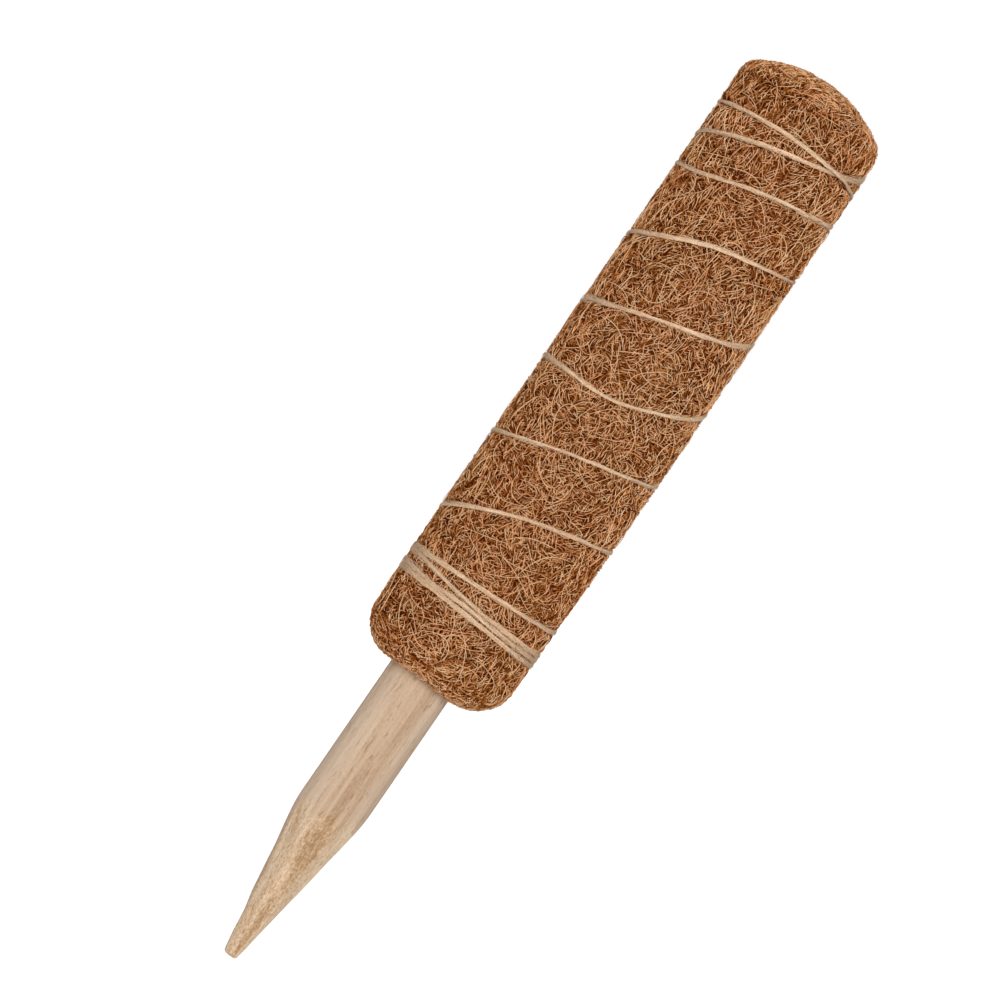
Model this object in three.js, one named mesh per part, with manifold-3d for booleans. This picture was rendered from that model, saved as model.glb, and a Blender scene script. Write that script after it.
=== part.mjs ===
// Moss pole: a pointed wooden stake, coir mat built up round it, and one jute twine that binds the coir.
// Millimetres, +Z up. The origin is on the pole's axis at the soil line, on the plane of the coir's foot.
// The front of the pole faces -Y, and the mat's seam and the twine's two ends are at the back.

import * as THREE from "three";
import { mergeVertices } from "three/addons/utils/BufferGeometryUtils.js";
import Module from "manifold-3d";

const wasm = await Module();
wasm.setup();

// Stake
const STAKE_DIAMETER = 20;
const STAKE_EXPOSED_LENGTH = 96; // from the soil line down to the tip
const STAKE_TOP_CHAMFER = 1.5;
const POINT_LENGTH = 49; // the hand-cut taper above the tip
const POINT_FACETS = 8;
const FACET_TURN = 9; // degrees, from the front to the middle of the nearest facet
const TIP_WIDTH = 4.6; // across the flats of the blunt tip

// Coir
const COIR_HEIGHT = 202; // from the foot to the top of the crown
const MAT_THICKNESS = 3.5;
const ROLL_TURNS = 3; // turns of mat in the inner roll
const FEATHERED_THICKNESS = 1.2; // thickness of the rolled strip at its two thinned ends
const FOOT_FOLD_RADIUS = 6.6; // inside radius where the wrap turns in under the foot
const FOOT_LAND = 2; // least width of the flat ring under the foot
const SHOULDER_FOLD_RADIUS = 1.6; // inside radius where the wrap turns in over the top
const CROWN_HEIGHT = 4.8; // how far the crown swells above a flat top
const PAD_RIM_HEIGHT = 2; // straight rim of the top pad and the bottom ring
const EYE_DIAMETER = 10; // opening left in the middle of the gathered top
const SEAM_GAP = 0.6;

// Twine
const TWINE_DIAMETER = 1.8;
const BINDING_HEIGHT = 12.5; // first close turn above the foot's fold, at the left of the pole
const BINDING_TURNS = 3;
const BINDING_GAP = 0.75; // clear space between two close turns
const BINDING_DROP = 5; // how far each close turn drops from the left to the right
const TOP_RING_DROP = 5.3; // highest point of the twine below the fold at the top
const CROSSING_GAP = 0.55; // clear space where the last turn passes over the one before
const HUMP_REACH = 2; // that hump starts where the two turns are this many diameters apart
const TUCKED_TURNS = 0.2; // how far behind the pole's sides the twine's ends go into the coir

// How far the hand-laid twine strays from an even climb, in parts of its pitch, for each open turn from
// the lowest to the highest, at these places in the turn: left, front left, front, front right, right, back.
const STRAY_PLACES = [0, 1 / 8, 1 / 4, 3 / 8, 1 / 2, 3 / 4];
const STRAY = [
  [0, 0.01, 0.02, 0.03, 0.04, 0.05],
  [0.05, 0.13, 0.28, 0.33, 0.28, 0.27],
  [0.21, 0.17, 0.26, 0.3, 0.29, 0.33],
  [0.36, 0.22, 0.1, 0.24, 0.39, 0.33],
  [0.22, 0.19, 0.26, 0.36, 0.46, 0.36],
  [0.23, 0.24, 0.39, 0.42, 0.41, 0.38],
  [0.32, 0.19, 0.24, 0.26, 0.25, 0.03],
  [-0.23, -0.23, -0.18, -0.11, -0.03, -0.11],
  [-0.24, -0.24, -0.21, -0.25, -0.31, -0.38],
];
const CLIMB_FROM = 0.5; // open turns before the even climb starts
const LEVEL_AT_TOP = 1.5; // open turns after it ends

// Fits and faceting
const CLEARANCE = 0.3; // between pieces that touch
const LATHE_SEGMENTS = 40;
const ROLL_STEPS = 30; // steps in one turn of the rolled strip
const LOOP_STEPS = 24; // steps in one turn of the twine
const TWINE_SIDES = 6;
const BEND_STEPS = 5; // steps in the quarter bend at each end of the twine
const FOLD_STEPS = 5;
const CROWN_STEPS = 4;
const MERGE_TOLERANCE = 1e-4;
const CUT_MARGIN = 5; // how far a cutting tool runs past what it cuts

// Sizes that follow from these
const stakeRadius = STAKE_DIAMETER / 2;
const boreRadius = stakeRadius + CLEARANCE;
const rollRadius = rolledEdge(ROLL_TURNS - 1 / ROLL_STEPS);
const coirRadius = rollRadius + CLEARANCE + MAT_THICKNESS;
const footRadius = Math.min(FOOT_FOLD_RADIUS + MAT_THICKNESS, coirRadius - boreRadius - FOOT_LAND);
const shoulderRadius = SHOULDER_FOLD_RADIUS + MAT_THICKNESS;
const shoulderCentreZ = COIR_HEIGHT - CROWN_HEIGHT - shoulderRadius;
const crownSpan = coirRadius - shoulderRadius;
const crownRadius = shoulderRadius + (crownSpan ** 2 + CROWN_HEIGHT ** 2) / (2 * CROWN_HEIGHT);
const crownCentreZ = COIR_HEIGHT - crownRadius;
const ringTopZ = footRadius + PAD_RIM_HEIGHT;
const padBottomZ = shoulderCentreZ - PAD_RIM_HEIGHT;
const stakeTopZ = padBottomZ - CLEARANCE;
const twineRadius = TWINE_DIAMETER / 2;
const windingRadius = (coirRadius + CLEARANCE + twineRadius) / Math.cos(Math.PI / LOOP_STEPS);
const tuckBend = TWINE_DIAMETER;
const firstTurn = TUCKED_TURNS - 0.5; // a turn counts from the left, so half a turn less is the right
const lastTurn = BINDING_TURNS + STRAY.length - TUCKED_TURNS;

// Materials
const wood = new THREE.MeshStandardMaterial({ color: 0xcaac91, roughness: 0.75, metalness: 0 });
const coir = new THREE.MeshStandardMaterial({ color: 0x956745, roughness: 0.95, metalness: 0 });
const innerCoir = new THREE.MeshStandardMaterial({ color: 0x7c5233, roughness: 0.95, metalness: 0 });
const jute = new THREE.MeshStandardMaterial({ color: 0xcdb08c, roughness: 0.9, metalness: 0 });

// Merges shared points and drops the triangles that collapse on the axis, which leaves one closed skin.
function closedSkin(geometry) {
  const bare = geometry.clone();
  bare.deleteAttribute("normal");
  bare.deleteAttribute("uv");
  const skin = mergeVertices(bare, MERGE_TOLERANCE);
  const corners = skin.index.array;
  const kept = [];
  for (let i = 0; i < corners.length; i += 3) {
    const [a, b, c] = [corners[i], corners[i + 1], corners[i + 2]];
    if (a !== b && b !== c && c !== a) {
      kept.push(a, b, c);
    }
  }
  skin.setIndex(kept);
  return skin;
}

function solidOf(geometry) {
  const skin = closedSkin(geometry);
  const vertProperties = new Float32Array(skin.attributes.position.array);
  const triVerts = new Uint32Array(skin.index.array);
  return new wasm.Manifold(new wasm.Mesh({ numProp: 3, vertProperties, triVerts }));
}

function geometryOf(solid) {
  const { vertProperties, triVerts } = solid.getMesh();
  const geometry = new THREE.BufferGeometry();
  geometry.setAttribute("position", new THREE.BufferAttribute(vertProperties, 3));
  geometry.setIndex(new THREE.BufferAttribute(triVerts, 1));
  return geometry;
}

// A solid of revolution about Z from a profile of [radius, height] points, listed counterclockwise.
function turned(profile) {
  const points = profile.map(([radius, z]) => new THREE.Vector2(radius, z));
  return new THREE.LatheGeometry(points, LATHE_SEGMENTS).rotateX(Math.PI / 2);
}

function arc(centreR, centreZ, radius, from, to, steps) {
  const points = [];
  for (let i = 0; i <= steps; i += 1) {
    const angle = from + ((to - from) * i) / steps;
    points.push([centreR + radius * Math.cos(angle), centreZ + radius * Math.sin(angle)]);
  }
  return points;
}

// The coir's outline lies on two folds, a straight wall and a crown. Each piece follows it at its own inset.
function footArc(inset) {
  return arc(coirRadius - footRadius, footRadius, footRadius - inset, -Math.PI / 2, 0, FOLD_STEPS);
}

function topArcs(inset, innerRadius) {
  const lean = Math.atan2(shoulderCentreZ - crownCentreZ, crownSpan);
  const shoulder = arc(crownSpan, shoulderCentreZ, shoulderRadius - inset, 0, lean, FOLD_STEPS);
  const end = Math.acos(innerRadius / (crownRadius - inset));
  const crown = arc(0, crownCentreZ, crownRadius - inset, lean, end, CROWN_STEPS);
  return [...shoulder, ...crown.slice(1)];
}

// Stake: a dowel, pencilled to a blunt point by flat facets.
function stakeGeometry() {
  const tipZ = -STAKE_EXPOSED_LENGTH;
  const dowel = turned([
    [0, tipZ - CUT_MARGIN],
    [stakeRadius, tipZ - CUT_MARGIN],
    [stakeRadius, stakeTopZ - STAKE_TOP_CHAMFER],
    [stakeRadius - STAKE_TOP_CHAMFER, stakeTopZ],
    [0, stakeTopZ],
  ]);
  const height = stakeTopZ + CUT_MARGIN - tipZ;
  const slope = (stakeRadius - TIP_WIDTH / 2) / POINT_LENGTH;
  const toCorner = 1 / Math.cos(Math.PI / POINT_FACETS);
  const lowRadius = (TIP_WIDTH / 2) * toCorner;
  const highRadius = lowRadius + height * slope * toCorner;
  const pencil = new THREE.CylinderGeometry(highRadius, lowRadius, height, POINT_FACETS)
    .rotateX(Math.PI / 2)
    .rotateZ(Math.PI / POINT_FACETS + THREE.MathUtils.degToRad(FACET_TURN))
    .translate(0, 0, tipZ + height / 2);
  return geometryOf(solidOf(dowel).intersect(solidOf(pencil)));
}

// The rolled strip thins out over its first and its last turn, so that the roll is round, and it stops
// one step short of the place where it started.
function rolledThickness(turn) {
  const fullness = Math.min(turn, ROLL_TURNS - turn, 1);
  return FEATHERED_THICKNESS + (MAT_THICKNESS - FEATHERED_THICKNESS) * fullness;
}

function rolledSeat(turn) {
  return turn < 1 ? boreRadius : rolledEdge(turn - 1) + CLEARANCE;
}

function rolledEdge(turn) {
  return rolledSeat(turn) + rolledThickness(turn);
}

function innerRollGeometry() {
  const outer = [];
  const inner = [];
  for (let i = 0; i < ROLL_TURNS * ROLL_STEPS; i += 1) {
    const turn = i / ROLL_STEPS;
    const angle = 2 * Math.PI * turn;
    const direction = new THREE.Vector2(Math.cos(angle), Math.sin(angle));
    outer.push(direction.clone().multiplyScalar(rolledEdge(turn)));
    inner.push(direction.clone().multiplyScalar(rolledSeat(turn)));
  }
  const section = new THREE.Shape([...outer, ...inner.reverse()]);
  const bottomZ = ringTopZ + CLEARANCE;
  const depth = stakeTopZ - bottomZ;
  const strip = new THREE.ExtrudeGeometry(section, { depth, bevelEnabled: false }).translate(0, 0, bottomZ);
  return geometryOf(withoutPockets(solidOf(strip)));
}

function bottomRingGeometry() {
  const inset = MAT_THICKNESS + CLEARANCE;
  return turned([
    [boreRadius, ringTopZ],
    [boreRadius, inset],
    ...footArc(inset),
    [coirRadius - inset, ringTopZ],
    [boreRadius, ringTopZ],
  ]);
}

function topPadGeometry() {
  const inset = MAT_THICKNESS + CLEARANCE;
  const bossRadius = EYE_DIAMETER / 2 - CLEARANCE;
  const bossTopZ = crownCentreZ + Math.sqrt(crownRadius ** 2 - bossRadius ** 2);
  return turned([
    [0, padBottomZ],
    [coirRadius - inset, padBottomZ],
    ...topArcs(inset, bossRadius),
    [bossRadius, bossTopZ],
    [0, COIR_HEIGHT],
  ]);
}

// Outer wrap: one sheet, turned in at the foot and the top, open along its seam at the back.
function outerWrapGeometry() {
  const outside = [[boreRadius, 0], ...footArc(0), ...topArcs(0, EYE_DIAMETER / 2)];
  const inside = [
    [boreRadius, MAT_THICKNESS],
    ...footArc(MAT_THICKNESS),
    ...topArcs(MAT_THICKNESS, EYE_DIAMETER / 2),
  ];
  const sheet = solidOf(turned([...outside, ...inside.reverse(), outside[0]]));
  const reach = coirRadius + CUT_MARGIN;
  const cutHeight = COIR_HEIGHT + 2 * CUT_MARGIN;
  const seam = new THREE.BoxGeometry(SEAM_GAP, reach, cutHeight).translate(0, reach / 2, COIR_HEIGHT / 2);
  return geometryOf(withoutPockets(sheet.subtract(solidOf(seam))));
}

// Twine: a turn starts at the left of the pole and goes round by the front, so the winding is right-handed.
const bindingPitch = TWINE_DIAMETER + BINDING_GAP;
const bindingZ = footRadius + BINDING_HEIGHT;
const bindingTopZ = bindingZ + BINDING_TURNS * bindingPitch;
const topRingZ = shoulderCentreZ - TOP_RING_DROP;
const climbTurns = STRAY.length - CLIMB_FROM - LEVEL_AT_TOP;
const climbPitch = (topRingZ - bindingTopZ) / climbTurns;
const strayTurns = STRAY.flatMap((_, turn) => STRAY_PLACES.map((place) => turn + place));
const strayAt = new THREE.CubicInterpolant(strayTurns, STRAY.flat(), 1, new Float32Array(1));

function twineHeight(turn) {
  if (turn < BINDING_TURNS) {
    const dip = (BINDING_DROP * (1 - Math.cos(2 * Math.PI * turn))) / 2;
    return bindingZ + bindingPitch * turn - dip;
  }
  const openTurn = turn - BINDING_TURNS;
  const climbed = THREE.MathUtils.clamp(openTurn - CLIMB_FROM, 0, climbTurns);
  return bindingTopZ + climbPitch * (climbed + strayAt.evaluate(openTurn)[0]);
}

// The last turn comes back down across the turn before, and rises over it there.
function twineLift(turn) {
  if (turn < lastTurn - 1) {
    return 0;
  }
  const rise = TWINE_DIAMETER + CROSSING_GAP;
  const apart = Math.abs(twineHeight(turn) - twineHeight(turn - 1)) / (HUMP_REACH * rise);
  return (rise * (1 + Math.cos(Math.PI * Math.min(apart, 1)))) / 2;
}

function twinePoint(turn) {
  const angle = Math.PI + 2 * Math.PI * turn;
  const radius = windingRadius + twineLift(turn);
  return new THREE.Vector3(radius * Math.cos(angle), radius * Math.sin(angle), twineHeight(turn));
}

// From inside the coir to the twine's lay on it: straight out for one diameter, then a quarter bend.
// away is +1 at the end that the winding starts from, and -1 at the end where it stops.
function tuckedEnd(turn, away) {
  const start = twinePoint(turn);
  const outward = new THREE.Vector3(start.x, start.y, 0).normalize();
  const ahead = twinePoint(turn + away / LOOP_STEPS).sub(start);
  ahead.addScaledVector(outward, -ahead.dot(outward)).normalize();
  const centre = start.clone().addScaledVector(outward, -tuckBend);
  const foot = centre.clone().addScaledVector(ahead, -tuckBend);
  const points = [foot.clone().addScaledVector(outward, -TWINE_DIAMETER)];
  for (let i = 0; i < BEND_STEPS; i += 1) {
    const angle = (Math.PI / 2) * (1 - i / BEND_STEPS);
    const point = centre.clone().addScaledVector(outward, tuckBend * Math.cos(angle));
    points.push(point.addScaledVector(ahead, -tuckBend * Math.sin(angle)));
  }
  return points;
}

function twineRoute() {
  const loops = [];
  const steps = Math.round((lastTurn - firstTurn) * LOOP_STEPS);
  for (let i = 0; i <= steps; i += 1) {
    loops.push(twinePoint(firstTurn + ((lastTurn - firstTurn) * i) / steps));
  }
  return [...tuckedEnd(firstTurn, 1), ...loops, ...tuckedEnd(lastTurn, -1).reverse()];
}

// One unbroken tube along a route, closed at both ends.
function tube(route, radius) {
  const positions = [];
  const corners = [];
  const normal = new THREE.Vector3(0, 0, 1);
  route.forEach((point, i) => {
    const before = route[Math.max(i - 1, 0)];
    const after = route[Math.min(i + 1, route.length - 1)];
    const along = after.clone().sub(before).normalize();
    normal.addScaledVector(along, -normal.dot(along)).normalize();
    const side = along.clone().cross(normal);
    for (let k = 0; k < TWINE_SIDES; k += 1) {
      const angle = (2 * Math.PI * k) / TWINE_SIDES;
      const corner = point.clone().addScaledVector(normal, radius * Math.cos(angle));
      positions.push(...corner.addScaledVector(side, radius * Math.sin(angle)));
    }
  });
  for (let i = 0; i < route.length - 1; i += 1) {
    for (let k = 0; k < TWINE_SIDES; k += 1) {
      const a = i * TWINE_SIDES + k;
      const b = i * TWINE_SIDES + ((k + 1) % TWINE_SIDES);
      corners.push(a, b, b + TWINE_SIDES, a, b + TWINE_SIDES, a + TWINE_SIDES);
    }
  }
  const last = (route.length - 1) * TWINE_SIDES;
  for (let k = 1; k < TWINE_SIDES - 1; k += 1) {
    corners.push(0, k + 1, k);
    corners.push(last, last + k, last + k + 1);
  }
  const geometry = new THREE.BufferGeometry();
  geometry.setAttribute("position", new THREE.Float32BufferAttribute(positions, 3));
  geometry.setIndex(corners);
  return geometry;
}

// The pockets in the coir that the twine's two ends are pushed into.
function withoutPockets(solid) {
  const ends = [tuckedEnd(firstTurn, 1), tuckedEnd(lastTurn, -1)];
  return ends.reduce((left, end) => {
    const inward = end[0].clone().sub(end[1]).normalize();
    const bottom = end[0].clone().addScaledVector(inward, CLEARANCE);
    return left.subtract(solidOf(tube([bottom, ...end.slice(1)], twineRadius + CLEARANCE)));
  }, solid);
}

// Length of the twine, and the least gap between stretches of it that lie more than half a turn apart.
function measureTwine(route) {
  let length = 0;
  let nearest = Infinity;
  for (let i = 1; i < route.length; i += 1) {
    length += route[i].distanceTo(route[i - 1]);
    for (let j = 0; j < i - LOOP_STEPS / 2; j += 1) {
      const stretch = new THREE.Line3(route[j], route[j + 1]);
      const closest = stretch.closestPointToPoint(route[i], true, new THREE.Vector3());
      nearest = Math.min(nearest, closest.distanceTo(route[i]));
    }
  }
  return { length, gap: nearest - TWINE_DIAMETER };
}

const route = twineRoute();
const twine = measureTwine(route);
console.log(`twine: ${twine.length.toFixed(0)} mm long, least gap to itself ${twine.gap.toFixed(2)} mm`);

const pieces = [
  ["wood_stake", stakeGeometry(), wood],
  ["coir_inner_roll", innerRollGeometry(), innerCoir],
  ["coir_bottom_ring", bottomRingGeometry(), innerCoir],
  ["coir_top_pad", topPadGeometry(), innerCoir],
  ["coir_outer_wrap", outerWrapGeometry(), coir],
  ["twine_winding", tube(route, twineRadius), jute],
];

const mossPole = new THREE.Group();
mossPole.name = "moss_pole";
for (const [name, geometry, material] of pieces) {
  const mesh = new THREE.Mesh(closedSkin(geometry), material);
  mesh.name = name;
  mossPole.add(mesh);
}

export default mossPole;
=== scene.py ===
"""Moss pole: the looks of the coir, the twine and the wooden stake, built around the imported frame.

Metres, +Z up. The front of the pole faces -Y, and the mat's seam is at the back.
"""

import bmesh
import bpy
import numpy as np
from mathutils import Matrix, Vector


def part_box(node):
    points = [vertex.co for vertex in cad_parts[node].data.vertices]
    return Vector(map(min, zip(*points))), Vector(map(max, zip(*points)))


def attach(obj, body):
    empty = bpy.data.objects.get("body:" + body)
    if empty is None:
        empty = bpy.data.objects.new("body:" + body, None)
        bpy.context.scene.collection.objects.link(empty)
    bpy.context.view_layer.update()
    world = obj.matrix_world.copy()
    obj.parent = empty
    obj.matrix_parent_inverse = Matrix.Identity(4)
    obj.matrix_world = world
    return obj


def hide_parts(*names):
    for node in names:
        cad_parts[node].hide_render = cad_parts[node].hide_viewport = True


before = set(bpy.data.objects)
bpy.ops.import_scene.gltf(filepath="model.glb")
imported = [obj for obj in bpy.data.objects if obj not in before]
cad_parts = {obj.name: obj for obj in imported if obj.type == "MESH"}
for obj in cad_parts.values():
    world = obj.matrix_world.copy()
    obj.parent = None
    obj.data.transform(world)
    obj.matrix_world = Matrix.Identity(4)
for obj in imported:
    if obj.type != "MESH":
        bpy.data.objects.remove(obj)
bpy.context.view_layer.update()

MM = 0.001
TAU = 2 * np.pi
TINY = 1e-12  # keeps divisors from being 0
LEFT_ANGLE = np.pi  # round the pole's axis, from +X
BACK_ANGLE = np.pi / 2
FRONT_ANGLE = 3 * np.pi / 2
rng = np.random.default_rng(2619)

# Sizes that the frame gives
stake_low, stake_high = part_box("wood_stake")
wrap_low, wrap_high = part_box("coir_outer_wrap")
roll_low, roll_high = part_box("coir_inner_roll")
pad_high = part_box("coir_top_pad")[1]
ring_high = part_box("coir_bottom_ring")[1]
stake_radius = (stake_high[0] - stake_low[0]) / 2
tip_z = stake_low[2]
coir_radius = (wrap_high[0] - wrap_low[0]) / 2
coir_top = pad_high[2]

# Coir: the folds of the CAD outline, and the mat
FOOT_RADIUS = 10.1 * MM
SHOULDER_RADIUS = 5.1 * MM
CROWN_HEIGHT = 4.8 * MM
BORE_RADIUS = 10.3 * MM
EYE_RADIUS = 5 * MM
MAT_THICKNESS = 3.5 * MM
SEAM_GAP = 0.6 * MM
CLEARANCE = 0.3 * MM  # between pieces that touch
PAD_RIM = 2 * MM  # straight rim of the top pad
ROLL_TURNS = 3
ROLL_SHORT = 1 / 30  # turns that the rolled strip stops short of the place where it started
FEATHERED_THICKNESS = 1.2 * MM  # of the rolled strip at its two thinned ends
LUMPS = 0.07 * MM  # how uneven the hidden coir is
LUMP_SIZE = 3 * MM
FELT_DEPTH = 0.9 * MM  # how far the felt lies under the CAD surface, below the loose fibres

shoulder_z = coir_top - CROWN_HEIGHT - SHOULDER_RADIUS
crown_span = coir_radius - SHOULDER_RADIUS
crown_radius = SHOULDER_RADIUS + (crown_span**2 + CROWN_HEIGHT**2) / (2 * CROWN_HEIGHT)
crown_z = coir_top - crown_radius
crown_lean = np.arctan2(shoulder_z - crown_z, crown_span)

# How finely the felt and the hidden coir are made
FOOT_STEPS = 12
WALL_STEPS = 60
SHOULDER_STEPS = 8
CROWN_STEPS = 7
WRAP_STEPS = 145
PAD_STEPS = 5
PAD_SEGMENTS = 96
ROLL_STEPS = 150
ROLL_ROWS = 45
RING_STEPS = 8
RING_SEGMENTS = 120
AXIS_GAP = 0.001 * MM  # radius of a hole at the pad's middle, which the weld closes
WELD_REACH = 0.003 * MM

# Where the hand-rolled coir stands out of its even outline, or is drawn in
FULL_SIDE = 1.1 * MM  # how far the right side stands out
FULL_SIDE_Z = 78 * MM
FULL_SIDE_REACH = 75 * MM
FULL_SIDE_CURVE = 1.5
SWELL_SPAN = 23 * MM  # from the axis to where a side stands out in full
SLACK_TOP = 1.4 * MM  # how far the top is drawn in at the right
SLACK_TOP_REACH = 9 * MM
SLACK_FOOT = 0.4 * MM  # how far the foot is drawn in at the left
SLACK_FOOT_Z = 6 * MM
SLACK_FOOT_REACH = 9 * MM
SAGS = [  # place across the foot, reach and depth
    (10 * MM, 7 * MM, 1 * MM),
    (-13 * MM, 8 * MM, 0.5 * MM),
]
SAG_HEIGHT = 3 * MM
CROWN_SWELL = 0.5 * MM
CROWN_SWELL_REACH = 7 * MM

# Where the loose fibres lie in: under the twine, at the seam, round the eye and at a crease in the foot. At
# all but the twine they are also painted darker, as shade
PRESS_DEPTH = 1.1 * MM
PRESS_REACH = 0.8 * MM
SEAM_DEPTH = 0.9 * MM
SEAM_REACH = 0.9 * MM
EYE_DEPTH = 0.8 * MM
EYE_REACH = 0.9 * MM
CREASE_DEPTH = 0.5 * MM
CREASE_REACH = 0.8 * MM
CREASE_Z = 3.6 * MM
CREASE_SLOPE = 0.02
CREASE_X = 2 * MM
CREASE_WIDTH = 13 * MM

# Loose fibres: short curls in layers, and long fibres among the upper ones
SHORT_LAYERS = 6
SHORT_FIBRES = 11000  # in each layer
SHORT_POINTS = 4
SHORT_LENGTH = 2.7  # the middle length in mm
SHORT_LENGTH_SPREAD = 0.45
SHORT_LENGTH_RANGE = (1.2, 7)  # in mm
SHORT_BEND = 420  # the most, in radians per metre
SHORT_RADII = (0.095, 0.155)  # in mm
SHORT_TONE = 0.02  # the least that they have
TOP_LEVEL = 0.32  # in mm over the CAD outline, like the other levels
LAYER_DROP = 0.17
LEVEL_SPREAD = 0.06
LONG_FIBRES = 2000
LONG_POINTS = 13
LONG_LENGTHS = (5, 20)  # in mm, like their radii
LONG_BEND = 120  # how far their bends spread, in radians per metre
LOOPED = 0.25  # share of the long fibres that are looped
LOOP_BENDS = (120, 320)
LONG_LEVELS = (-0.05, 0.5)
LONG_RADII = (0.11, 0.17)
LONG_TONE = 0.05
FIBRE_SIDES = 3
FIBRE_TAPER = 0.75  # how much thinner a fibre is at its ends
SWAY = 0.9  # how much its bend changes along it
WEAVES = (0.1, 0.25)  # in mm, how far it weaves up and down
WEAVE_COUNTS = (0.5, 1.6)  # waves along a fibre
DIVES = (0.2, 0.6)  # in mm, how far its ends dive in
OVER_TWINE = 0.12  # share of the fibres that the twine hardly presses in
OVER_TWINE_PRESS = 0.2
COMB_REACH = 2.2 * MM  # over how far the fibres of a layer lie the same way
COMB_STRAY = 0.45
LAY = 1.1  # how far the fibres tend to lie up along the mat at its top; there is no such lay at its foot
LAY_LEAN = 0.4  # how far that lay leans round the pole
TURNED_IN = 1  # how much stronger it is where the mat is turned in over the top
STRAIGHTER = 0.7  # how much less the fibres bend at the top than at the foot

# Tones of the fibres: pale above a level and darker below it, which is painted shade in the depths of the
# mat; painted shade also darkens the sides and the top of the pole, and it is darker towards its foot
PALE_LEVEL = -0.13
PALE_FADE = 0.12
PALE_TONE = 0.74
OWN_TONE = 0.31  # how much the tones of pale fibres differ
OWN_TONE_DEEP = 0.35  # share of that in the dark ones
# Painted shade on the mat: darker at its sides, the left one most, and at its top; it is also darker towards
# its foot
FRONT_TONE = 0.11
SIDE_SHADE = 0.25
LEFT_SHADE = 0.05
END_SHADES = [  # height, reach and shade
    (coir_top, 5 * MM, 0.12),
    (coir_top, 18 * MM, 0.06),
    (0, 14 * MM, 0.075),
]

# Places of the fibres: each takes the emptiest of a few
TRIES = 8
ENDS_TAKEN = 50  # how crowded the flat ends seem to the long fibres, which keep away from them
CROWD_CELL = 0.3 * MM
CROWD_BATCH = 100
CROWD_LEAST_RADIUS = 2 * MM  # a fibre counts for more near the axis, but no more than here
EVEN_STEPS = np.array([0.7548776662, 0.5698402910])  # steps that spread points evenly over a square
EVEN_JITTER = 0.004

# Twine: the route of the CAD winding, sunk a little into the fibres
TWINE_DIAMETER = 1.8 * MM
TWINE_RADIUS = 23.1 * MM  # from the pole's axis to the middle of the twine
BINDING_Z = 22.6 * MM
BINDING_PITCH = 2.55 * MM
BINDING_TURNS = 3
BINDING_DROP = 5 * MM
BINDING_SQUEEZE = 0.34  # how far the soft binding turns close up at the front and the right
SQUEEZE_SPREAD = 1.3  # over 1, so that they stay close for a while
SHIFTED = [  # turn, reach in turns and mm up, where a strand leaves its even place
    (1, 0.14, -0.5),
    (1.16, 0.06, -0.8),
    (1.24, 0.09, 0.2),
    (2, 0.14, 0.7),
    (2.15, 0.07, 0.3),
    (2.24, 0.09, -0.25),
    (3.05, 0.3, -0.9),
]
TOP_RING_Z = 186.8 * MM
CROSSING_RISE = 1.5 * MM
HUMP_REACH = 2  # in rises
CLIMB_FROM = 0.5  # turns over the binding
LEVEL_AT_TOP = 1.5  # turns
FIRST_TURN = -0.3
LAST_TURN = 11.8
TUCK_TURNS = 0.025
TUCK_DEPTH = 4 * MM
STRAY_PLACES = np.array([0, 1 / 8, 1 / 4, 3 / 8, 1 / 2, 3 / 4])  # in a turn, from the left by the front
STRAY = np.array([  # in pitches of the climb, a row for each open turn
    [0, 0.01, 0.02, 0.03, 0.04, 0.05],
    [0.05, 0.13, 0.28, 0.33, 0.28, 0.27],
    [0.21, 0.17, 0.26, 0.3, 0.29, 0.33],
    [0.36, 0.22, 0.1, 0.24, 0.39, 0.33],
    [0.22, 0.19, 0.26, 0.36, 0.46, 0.36],
    [0.23, 0.24, 0.39, 0.42, 0.41, 0.38],
    [0.32, 0.19, 0.24, 0.26, 0.25, 0.03],
    [-0.23, -0.23, -0.18, -0.11, -0.03, -0.11],
    [-0.24, -0.24, -0.21, -0.25, -0.31, -0.38],
])
binding_top = BINDING_Z + BINDING_TURNS * BINDING_PITCH
climb_turns = len(STRAY) - CLIMB_FROM - LEVEL_AT_TOP
climb_pitch = (TOP_RING_Z - binding_top) / climb_turns

# Yarn
YARN_LAY = 26 * MM
YARN_WAVER = 0.2 * MM
YARN_FLATNESS = 0.7  # its height, in parts of its width
EVEN_YARN = 0.68  # its usual thickness, in parts of the CAD twine's
THICK_YARN = [  # turn, reach in turns, how much thicker or thinner it is there
    (1.4, 1.5, 0.12),
    (1.16, 0.08, -0.15),
    (2.17, 0.09, -0.22),
    (4.02, 0.1, 0.08),
    (5.02, 0.1, 0.2),
    (5.25, 0.12, -0.16),
    (6.05, 0.14, 0.22),
    (6.3, 0.06, -0.16),
    (6.45, 0.06, 0.2),
    (7.02, 0.12, 0.25),
    (7.45, 0.07, 0.3),
    (8.08, 0.1, 0.18),
    (8.44, 0.1, -0.2),
    (9.42, 0.07, 0.2),
    (10.05, 0.07, 0.15),
    (10.95, 0.15, -0.1),
]
FRAYED = [  # turn, reach in turns, how far the filaments fan out
    (0.04, 0.14, 0.7),
    (0.47, 0.09, 0.4),
    (1.04, 0.09, 1),
    (1.47, 0.09, 0.4),
    (2.04, 0.08, 1),
    (2.47, 0.09, 0.4),
    (3.04, 0.1, 1),
    (6.02, 0.1, 0.3),
    (7.02, 0.08, 0.6),
    (7.46, 0.05, 0.6),
    (10.46, 0.07, 1.3),
]
FRAYED_FINER = 0.6  # power by which fanned filaments thin out
SLUBS = 0.1  # how uneven the yarn is
WAVER_WAVES = 4
WAVER_LENGTHS = (3, 20)  # in mm
YARN_TONE = 0.58
YARN_TONE_WAVER = 0.08
BINDING_SHADE = 0.12  # how much darker the yarn is in the binding
FILAMENTS = 14
FILAMENT_STEPS = 1700
FILAMENT_SIDES = 4
FILAMENT_ROWS = 40  # on the bake map
FILAMENT_TURN = 0.382  # turns from one filament to the next
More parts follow.
